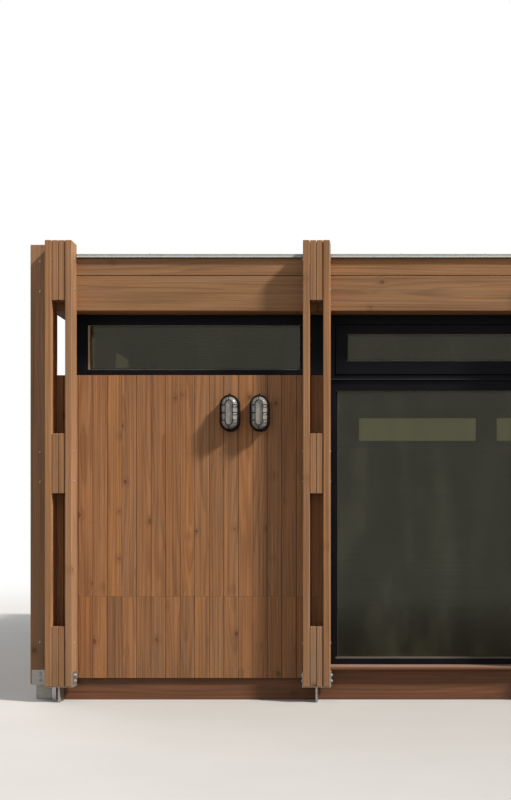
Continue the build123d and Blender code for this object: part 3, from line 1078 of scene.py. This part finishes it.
ribbon_widths = (frame_wide,) * 4
for side in sides:
    for bay in range(bays):
        if side == "front" and bay in glass_bays:
            continue
        window = (*window_span(side, bay), wall_top, head)
        frame_ring(ribbon, window, ribbon_widths, frame_section, side)
        # The outermost side beads of each run are the pale end beads, which carry painted sunlight.
        glaze(shrunk(window, *ribbon_widths), glass_stop, (bead_wide, end_bead_wide, bead_wide), side,
              end_beads if bay == 0 else strips, end_beads if bay == bays - 1 else strips)
ribbon.make("clerestory_joinery", black_frame, ["clerestory_frames"])

picture = Pieces(64)
drips = Pieces(67)
sashes = Pieces(65)
lower_widths = (foot_rail, frame_wide, transom_line - transom_foot, frame_wide)
upper_widths = (transom_step, frame_wide, frame_wide, frame_wide)
sash_widths = (sash_foot_rail, sash_stile, sash_head_rail, sash_stile)
drip = [(0, 0), (drip_out - drip_lip, 0), (drip_out, -drip_high), (drip_out - drip_steel, -drip_high),
        (drip_out - drip_fold, -drip_steel), (0, -drip_steel)]
for bay in glass_bays:
    low, high = window_span("front", bay)
    lower = (low, high, picture_low.z, transom_line)
    frame_ring(picture, lower, lower_widths, frame_section, "front")
    frame_ring(picture, (low, high, transom_line, head), upper_widths, frame_section, "front")
    moulding(drips, drip, (low + drip_end_gap, high - drip_end_gap),
             lambda u, v, end: (end, -frame_face - u, transom_line + v))
    glaze(shrunk(lower, *lower_widths), glass_stop, (foot_bead_wide, strip_wide, bead_wide), "front")
    sash_edge = frame_wide + sash_gap
    sash = (low + sash_edge, high - sash_edge, sash_low.z, sash_high.z)
    frame_ring(sashes, sash, sash_widths, sash_section, "front")
    glaze(shrunk(sash, *sash_widths), sash_glass_stop, (bead_wide, bead_wide, bead_wide), "front")
picture.make("picture_joinery", black_frame, ["picture_window_frames"])
drips.make("transom_drips", painted_reflection_drip_coat)
sashes.make("sash_joinery", black_frame, ["awning_sashes"])
strips.make("glazing_strips", black_frame)
gaskets.make("glazing_gaskets", gasket)
beads.make("glazing_beads", bead_coat)
end_beads.make("glazing_end_beads", painted_sunlight_bead_timber)
spacers.make("glazing_spacers", gasket)


def corner_cover(pieces, side):
    """The angle that covers the meeting of two ribbon frames at a corner."""
    outer = -frame_face - cover_thick
    inner = -frame_face
    end = inner + cover_leg
    ease = cover_ease
    outline = [
        (outer + ease, outer), (end - ease, outer), (end, outer + ease), (end, inner), (inner, inner),
        (inner, end), (outer + ease, end), (outer, end - ease), (outer, outer + ease),
    ]
    moulding(pieces, outline, (wall_top, head), lambda u, v, level: (u, v, level), side)


covers = Pieces(68)
for side in sides:
    corner_cover(covers, side)
covers.make("corner_covers", black_frame)


# Bulkhead lights


def stadium(wide, high, arc):
    """An upright outline with half-round ends, from the right going up."""
    radius = wide / 2
    straight = high / 2 - radius
    points = []
    for centre, start in ((straight, 0), (-straight, math.pi)):
        for i in range(arc + 1):
            angle = start + math.pi * i / arc
            points.append((radius * math.cos(angle), centre + radius * math.sin(angle)))
    return points


def shell(pieces, x, wide, high, rings, arc, flutes=0.0, closed=False):
    """Outlines of one form, each (inset, distance out), joined up into a skin on the wall."""
    points = []
    for inset, out in rings:
        for i, (u, v) in enumerate(stadium(wide - 2 * inset, high - 2 * inset, arc)):
            dent = flutes * (i % 2) * 2 / wide
            points.append((x + u * (1 - dent), -out, light_level + v * (1 - dent * wide / high)))
    pieces.add(points, skin(len(rings), 2 * (arc + 1), closed), smooth=True)


light_high = lights_high.z - lights_low.z
light_level = (lights_high.z + lights_low.z) / 2
housing_face = -lights_low.y
globe_face = -globes_low.y
bases = Pieces()
globes = Pieces()
cages = Pieces()


def light_base(x):
    """The cast housing with its mounting foot, rounded edge and two screws."""
    rings = [(inset, cladding_face + out) for inset, out in housing_foot]
    rings += [(inset, housing_face - back) for inset, back in housing_rim]
    shell(bases, x, light_wide, light_high, rings, arc=20)
    for way in (-1, 1):
        spot = (x, -cladding_face - mount_inset, light_level + way * (light_high / 2 - mount_inset))
        stud(bases, mount_screw, spot, (0, -1, 0), smooth=True)


def light_globe(x):
    """The pressed glass, fluted all round, domed up from the bezel."""
    edge = 2 * (bezel_wide + globe_gap)
    steps = 12
    rings = [(0.0, housing_face)]
    for i in range(steps + 1):
        angle = math.pi / 2 * i / steps
        inset = dome_inset * (light_wide - edge) / 2 * (1 - math.cos(angle)) ** dome_power
        rise = dome_start + (1 - dome_start) * math.sin(angle)
        rings.append((inset, housing_face + (globe_face - housing_face) * rise))
    shell(globes, x, light_wide - edge, light_high - edge, rings, arc=32, flutes=flute_deep)


def guard_bar(*path):
    """A bent bar of a guard."""
    tube(cages, bent(path, cage_bend), cage_bar / 2)


def light_cage(x):
    """The bezel and the bars over the globe, with two screws on each side and a lug on top."""
    z = light_level
    front = housing_face + bezel_deep
    bezel = rounded_face(housing_face, front, bezel_round) + [(1, 0, housing_face)]
    rings = [(share * bezel_wide + more, out) for share, more, out in bezel]
    shell(cages, x, light_wide, light_high, rings, arc=20, closed=True)
    half_bar = cage_bar / 2
    level = globe_face + cage_gap + half_bar
    ring = stadium(cage_ring_wide - cage_bar, cage_ring_high - cage_bar, arc=14)
    tube(cages, [(x + u, -level, z + v) for u, v in ring], half_bar, closed=True)
    for way in (-1, 1):
        foot_x = x + way * (light_wide / 2 - half_bar - cage_foot_inset)
        head_x = x + way * (cage_ring_wide / 2 - half_bar)
        for row in (-1, 0, 1):
            at = z + row * cage_arm_spacing
            guard_bar((foot_x, -housing_face, at), (foot_x, -level, at), (head_x, -level, at))
        foot_z = z + way * (light_high / 2 - half_bar - cage_foot_inset)
        head_z = z + way * (cage_ring_high / 2 - half_bar)
        guard_bar((x, -housing_face, foot_z), (x, -level, foot_z), (x, -level, head_z))
        for row in (-0.5, 0.5):
            spot = (x + way * (light_wide - bezel_wide) / 2, -front, z + row * cage_arm_spacing)
            stud(cages, cage_screw, spot, (0, -1, 0), smooth=True)
    top = z + light_high / 2
    plank(cages, (x - lug_wide / 2, lug_set_back - front, top - lug_sunk),
          (x + lug_wide / 2, lug_deep - front, top + lug_high), 0, ease=lug_ease)


for x in (lights_low.x + light_wide / 2, lights_high.x - light_wide / 2):
    light_base(x)
    light_globe(x)
    light_cage(x)
bases.make("light_housings", light_black, ["light_bases"])
globes.make("light_glasses", milky_glass, ["light_globes"])
cages.make("light_guards", light_black, ["light_cages"])


# Roof edge and sheet


edge_top = flashing_high.z


def flashing_run(pieces, ends, side):
    """The folded edge between two posts: an upright leaf with a drip that kicks out to a hem."""
    foot = flashing_low.z
    steel = flashing_steel
    leaf = flashing_leaf
    kick = flashing_kick
    outline = [
        (0.0, edge_top), (leaf, edge_top), (leaf, foot + flashing_kick_high), (kick, foot + 2 * steel),
        (kick + 0.5 * steel, foot + steel), (kick, foot), (kick - 4 * steel, foot + steel),
        (kick - 4 * steel, foot + 2 * steel), (kick - steel, foot + 1.5 * steel),
        (leaf - steel, foot + flashing_kick_high - steel), (leaf - steel, edge_top - steel),
        (0.0, edge_top - steel),
    ]
    moulding(pieces, outline, ends, lambda u, v, end: (end, -beam_face - u, v), side)


edge = Pieces(71)
lap = beam_face + sheet_low.y
for side in sides:
    end = reach(side, beam_face, lap)
    for bay in range(bays):
        flashing_run(edge, between_posts(bay, flashing_post_gap), side)
    plank(edge, (-end, -beam_face, sheet_low.z), (end, -beam_face + lap, edge_top), 0, side, flashing_ease)
edge.make("roof_edge", edge_metal, ["roof_flashing"])

roof = Pieces(72)
seam_count = int((sheet_high.x - sheet_low.x) / seam_spacing)
seams = [seam_spacing * (i - (seam_count - 1) / 2) for i in range(seam_count)]
pans = [sheet_low.x] + seams + [sheet_high.x]
for low, high in zip(pans, pans[1:]):
    plank(roof, (low, sheet_low.y, sheet_low.z), (high, sheet_high.y, edge_top), 1, ease=pan_ease)
for x in seams:
    outline = [(x - seam_half, edge_top), (x - seam_half, sheet_high.z - seam_fold[0][1])]
    outline += [(x + across, sheet_high.z - down) for across, down in seam_fold]
    outline += [(x + seam_half, edge_top)]
    moulding(roof, outline, (sheet_low.y + seam_end_gap, sheet_high.y - seam_end_gap),
             lambda u, v, end: (u, end, v))
roof.make("roof_pans", sheet_metal, ["roof_sheet"])


# Finishes of the solids that stay as they are
finishes = (
    ([f"{side}_wall" for side in sides], lining_board),
    (["floor_joists", "roof_joists", "roof_deck"], joist_timber),
    (["post_shoes", "post_fins"], shoe_metal),
    (["clerestory_glass", "picture_window_glass", "awning_glass"], window_glass),
    (["window_mullions"], black_frame),
)
for nodes, material in finishes:
    for node in nodes:
        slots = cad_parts[node].data.materials
        slots.clear()
        slots.append(material)


# Studio: a pale floor that fades into a white background, a soft sky, a key lamp and a fill from behind
white = (1, 1, 1, 1)
floor_half = 90.0
floor_drop = 0.0005
floor_bounce = colour(122, 119, 114)
fade_start = 5.0
fade_end = 16.0
sky_tint = (0.97, 0.985, 1.0, 1.0)
sky_strength = 0.4


def seen(s):
    """1 for the rays that the camera sees directly, in a mirror or through glass."""
    return s.math("MAXIMUM", s.math("MAXIMUM", s.ray("Camera"), s.ray("Glossy")), s.ray("Transmission"))


def studio_floor():
    """A wide sheet under the cabin, pale and slightly mottled, white in the distance."""
    mesh = bpy.data.meshes.new("studio_floor")
    corners = ((-1, -1), (1, -1), (1, 1), (-1, 1))
    mesh.from_pydata([(x * floor_half, y * floor_half, -floor_drop) for x, y in corners], [], [(0, 1, 2, 3)])
    s = new_material("studio_floor")
    place = s.place()
    mottle = s.noise(place, 2.5, 5.0)[0]
    pale = s.mix(mottle, colour(184, 182, 179), colour(192, 190, 187))
    paint = s.mix(s.ray("Camera"), floor_bounce, pale)
    distance = s.length(*s.separate(place)[:2])
    fade = s.times(s.remap(distance, fade_start, fade_end), seen(s))
    glow = s.node("Emission", {"Color": white, "Strength": 1.0}).outputs[0]
    mesh.materials.append(s.end(s.either(fade, s.principled(Base_Color=paint, Roughness=0.9), glow)))
    floor = placed("studio_floor", mesh)


def studio_sky():
    """A soft even sky, plain white where it is seen."""
    s = Shader(bpy.data.worlds.new("studio"))
    soft = s.node("Background", {"Color": sky_tint, "Strength": sky_strength}).outputs[0]
    plain = s.node("Background", {"Color": white, "Strength": 1.0}).outputs[0]
    bpy.context.scene.world = s.end(s.either(seen(s), soft, plain), "World")


def studio_lamp(name, strength, turn, rise, wide, tint):
    """A far lamp: turn is how far round it stands from the front to the right, rise is how high."""
    lamp = bpy.data.lights.new(name, "SUN")
    lamp.energy = strength
    lamp.angle = math.radians(wide)
    lamp.color = tint
    placed(name, lamp).rotation_euler = (math.radians(90 - rise), 0, math.radians(turn))


studio_floor()
studio_sky()
studio_lamp("key", strength=4.5, turn=66.0, rise=43.0, wide=6.0, tint=(1.0, 0.96, 0.9))
studio_lamp("fill", strength=1.3, turn=222.0, rise=25.0, wide=50.0, tint=(0.95, 0.98, 1.0))

# Camera at the photograph's viewing angle: level, off to the left, and shifted to frame the corner bay
camera_data = bpy.data.cameras.new("camera")
camera_data.lens = 54.1
camera_data.sensor_width = 36.0
camera_data.shift_x = -0.162
camera_data.shift_y = 0.164
camera_data.clip_end = 400.0
camera = placed("camera", camera_data)
camera.location = (-1.119, -10.349, 1.014)
camera.rotation_euler = (math.pi / 2, 0, 0)
bpy.context.scene.camera = camera
bpy.context.scene.view_settings.view_transform = "Standard"
